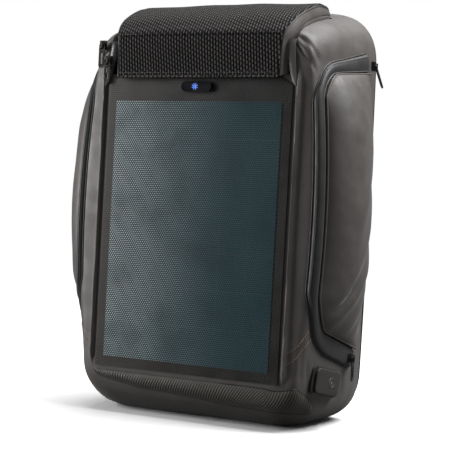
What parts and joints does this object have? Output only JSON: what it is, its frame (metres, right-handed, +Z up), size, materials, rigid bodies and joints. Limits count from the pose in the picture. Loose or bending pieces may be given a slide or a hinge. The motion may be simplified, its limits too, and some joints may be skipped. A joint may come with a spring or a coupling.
{
  "type": "solar backpack",
  "caption": "Padded backpack with a laminated solar panel on its front, hinged ribbed lid, zipped side pockets, covered charging port and shoulder straps.",
  "frame": {"origin": "middle of the footprint, on the floor", "axes": "+Z up, -Y out of the solar panel, +X towards the side with the charging port"},
  "size_m": [0.3752, 0.1945, 0.4875],
  "materials": {
    "coated_fabric": "smooth coated cloth, soft sheen",
    "ribbed_fabric": "ribbed woven cloth",
    "zip_fabric": "coated tape, semi-gloss",
    "lining": "plain woven lining",
    "stiffener_board": "matte board",
    "panel_border": "embossed laminate",
    "panel_film": "embossed clear film",
    "solar_cell": "dark blue-green cells",
    "plastic_black": "moulded",
    "indicator_gloss": "black gloss window",
    "circuit_board": "solder mask",
    "port_rubber": "moulded rubber",
    "socket_metal": "plated",
    "zip_metal": "gloss black plated",
    "spacer_mesh": "three-dimensional mesh",
    "webbing": "woven webbing"
  },
  "bodies": {
    "bag": {"body_shell": "coated_fabric", "back_panel": "coated_fabric", "bottom_edge_strip": "ribbed_fabric", "main_zip_chain_left": "zip_fabric", "main_zip_chain_right": "zip_fabric", "rear_piping": "zip_fabric", "pocket_zip_band_left": "zip_fabric", "pocket_zip_band_right": "zip_fabric", "laptop_sleeve": "lining", "power_bank_sleeve": "lining", "bottom_board": "stiffener_board", "frame_sheet": "stiffener_board", "panel_backsheet": "panel_border", "panel_film": "panel_film", "solar_cell_row_1": "solar_cell", "solar_cell_row_2": "solar_cell", "solar_cell_row_3": "solar_cell", "solar_cell_row_4": "solar_cell", "solar_cell_row_5": "solar_cell", "solar_cell_row_6": "solar_cell", "solar_cell_row_7": "solar_cell", "indicator_housing": "plastic_black", "panel_junction_box": "plastic_black", "charge_controller": "plastic_black", "panel_lead": "plastic_black", "indicator_lead": "plastic_black", "usb_lead": "plastic_black", "indicator_lens": "indicator_gloss", "indicator_board": "circuit_board", "port_frame": "port_rubber", "usb_socket": "socket_metal", "back_pad_left": "spacer_mesh", "back_pad_right": "spacer_mesh", "lumbar_pad": "spacer_mesh"},
    "lid": {"lid_shell": "ribbed_fabric", "lid_stiffener": "stiffener_board"},
    "pocket_left": {"pocket_panel_left": "coated_fabric"},
    "pocket_right": {"pocket_panel_right": "coated_fabric"},
    "port_cover": {"port_cover": "port_rubber"},
    "carry_handle": {"carry_handle": "webbing"},
    "strap_left": {"shoulder_strap_left": "spacer_mesh", "ladder_lock_left": "plastic_black"},
    "strap_right": {"shoulder_strap_right": "spacer_mesh", "ladder_lock_right": "plastic_black"},
    "lower_webbing_left": {"lower_webbing_left": "webbing"},
    "lower_webbing_right": {"lower_webbing_right": "webbing"},
    "main_zip_1_slider": {"main_zip_1_slider": "zip_metal"},
    "main_zip_2_slider": {"main_zip_2_slider": "zip_metal"},
    "pocket_left_top_slider": {"pocket_left_top_slider": "zip_metal"},
    "pocket_left_bottom_slider": {"pocket_left_bottom_slider": "zip_metal"},
    "pocket_right_top_slider": {"pocket_right_top_slider": "zip_metal"},
    "pocket_right_bottom_slider": {"pocket_right_bottom_slider": "zip_metal"},
    "main_zip_1_pull": {"main_zip_1_pull": "zip_metal"},
    "main_zip_2_pull": {"main_zip_2_pull": "zip_metal"},
    "pocket_left_top_pull": {"pocket_left_top_pull": "zip_metal"},
    "pocket_left_bottom_pull": {"pocket_left_bottom_pull": "zip_metal"},
    "pocket_right_top_pull": {"pocket_right_top_pull": "zip_metal"},
    "pocket_right_bottom_pull": {"pocket_right_bottom_pull": "zip_metal"}
  },
  "joints": [
    {"name": "lid_hinge", "type": "hinge", "parent": "bag", "child": "lid", "pos_m": [0, 0.0198, 0.48], "axis": [-1, 0, 0], "range_deg": [0, 100]},
    {"name": "pocket_left_fold", "type": "hinge", "parent": "bag", "child": "pocket_left", "pos_m": [-0.1695, 0.0294, 0.25], "axis": [0, 0, -1], "range_deg": [0, 70]},
    {"name": "pocket_right_fold", "type": "hinge", "parent": "bag", "child": "pocket_right", "pos_m": [0.1695, 0.0294, 0.25], "axis": [0, 0, 1], "range_deg": [0, 70]},
    {"name": "port_cover_hinge", "type": "hinge", "parent": "bag", "child": "port_cover", "pos_m": [0.15377, -0.03395, 0.07014], "axis": [-0.1951, -0.9624, 0.1891], "range_deg": [0, 110]},
    {"name": "handle_tilt", "type": "hinge", "parent": "bag", "child": "carry_handle", "pos_m": [0, 0.0791, 0.424], "axis": [1, 0, 0], "range_deg": [0, 125]},
    {"name": "strap_left_swing", "type": "hinge", "parent": "bag", "child": "strap_left", "pos_m": [-0.066, 0.0758, 0.424], "axis": [1, 0, 0], "range_deg": [0, 20]},
    {"name": "lower_webbing_left_swing", "type": "hinge", "parent": "bag", "child": "lower_webbing_left", "pos_m": [-0.127, 0.0772, 0.06], "axis": [-1, 0, 0], "range_deg": [0, 24]},
    {"name": "strap_right_swing", "type": "hinge", "parent": "bag", "child": "strap_right", "pos_m": [0.066, 0.0758, 0.424], "axis": [1, 0, 0], "range_deg": [0, 20]},
    {"name": "lower_webbing_right_swing", "type": "hinge", "parent": "bag", "child": "lower_webbing_right", "pos_m": [0.127, 0.0772, 0.06], "axis": [-1, 0, 0], "range_deg": [0, 24]},
    {"name": "main_zip_1_run", "type": "slide", "parent": "bag", "child": "main_zip_1_slider", "axis": [0.42, 0, -0.9075], "range_m": [0, 0.015]},
    {"name": "main_zip_2_run", "type": "slide", "parent": "bag", "child": "main_zip_2_slider", "axis": [0.42, 0, -0.9075], "range_m": [-0.006, 0]},
    {"name": "main_zip_1_pull_swing", "type": "hinge", "parent": "main_zip_1_slider", "child": "main_zip_1_pull", "pos_m": [-0.118, -0.093, 0.411], "axis": [-1, 0, 0], "range_deg": [0, 160]},
    {"name": "main_zip_2_pull_swing", "type": "hinge", "parent": "main_zip_2_slider", "child": "main_zip_2_pull", "pos_m": [-0.1264, -0.093, 0.429], "axis": [-1, 0, 0], "range_deg": [0, 160]},
    {"name": "pocket_left_top_run", "type": "slide", "parent": "bag", "child": "pocket_left_top_slider", "axis": [0.05, -0.9896, -0.1349], "range_m": [0, 0.07]},
    {"name": "pocket_left_bottom_run", "type": "slide", "parent": "bag", "child": "pocket_left_bottom_slider", "axis": [0.05, -0.959, 0.279], "range_m": [0, 0.055]},
    {"name": "pocket_left_top_pull_swing", "type": "hinge", "parent": "pocket_left_top_slider", "child": "pocket_left_top_pull", "pos_m": [-0.16917, 0.0338, 0.4195], "axis": [0, 1, 0], "range_deg": [0, 140]},
    {"name": "pocket_left_bottom_pull_swing", "type": "hinge", "parent": "pocket_left_bottom_slider", "child": "pocket_left_bottom_pull", "pos_m": [-0.16762, 0.0128, 0.08], "axis": [0, 1, 0], "range_deg": [0, 160]},
    {"name": "pocket_right_top_run", "type": "slide", "parent": "bag", "child": "pocket_right_top_slider", "axis": [-0.05, -0.9896, -0.1349], "range_m": [0, 0.07]},
    {"name": "pocket_right_bottom_run", "type": "slide", "parent": "bag", "child": "pocket_right_bottom_slider", "axis": [-0.05, -0.959, 0.279], "range_m": [0, 0.055]},
    {"name": "pocket_right_top_pull_swing", "type": "hinge", "parent": "pocket_right_top_slider", "child": "pocket_right_top_pull", "pos_m": [0.16917, 0.0338, 0.4195], "axis": [0, -1, 0], "range_deg": [0, 140]},
    {"name": "pocket_right_bottom_pull_swing", "type": "hinge", "parent": "pocket_right_bottom_slider", "child": "pocket_right_bottom_pull", "pos_m": [0.16762, 0.0128, 0.08], "axis": [0, -1, 0], "range_deg": [0, 160]}
  ],
  "couplings": [
    {"joint": "lower_webbing_left_swing", "follows": "strap_left_swing", "ratio": 1.2},
    {"joint": "lower_webbing_right_swing", "follows": "strap_right_swing", "ratio": 1.2}
  ]
}
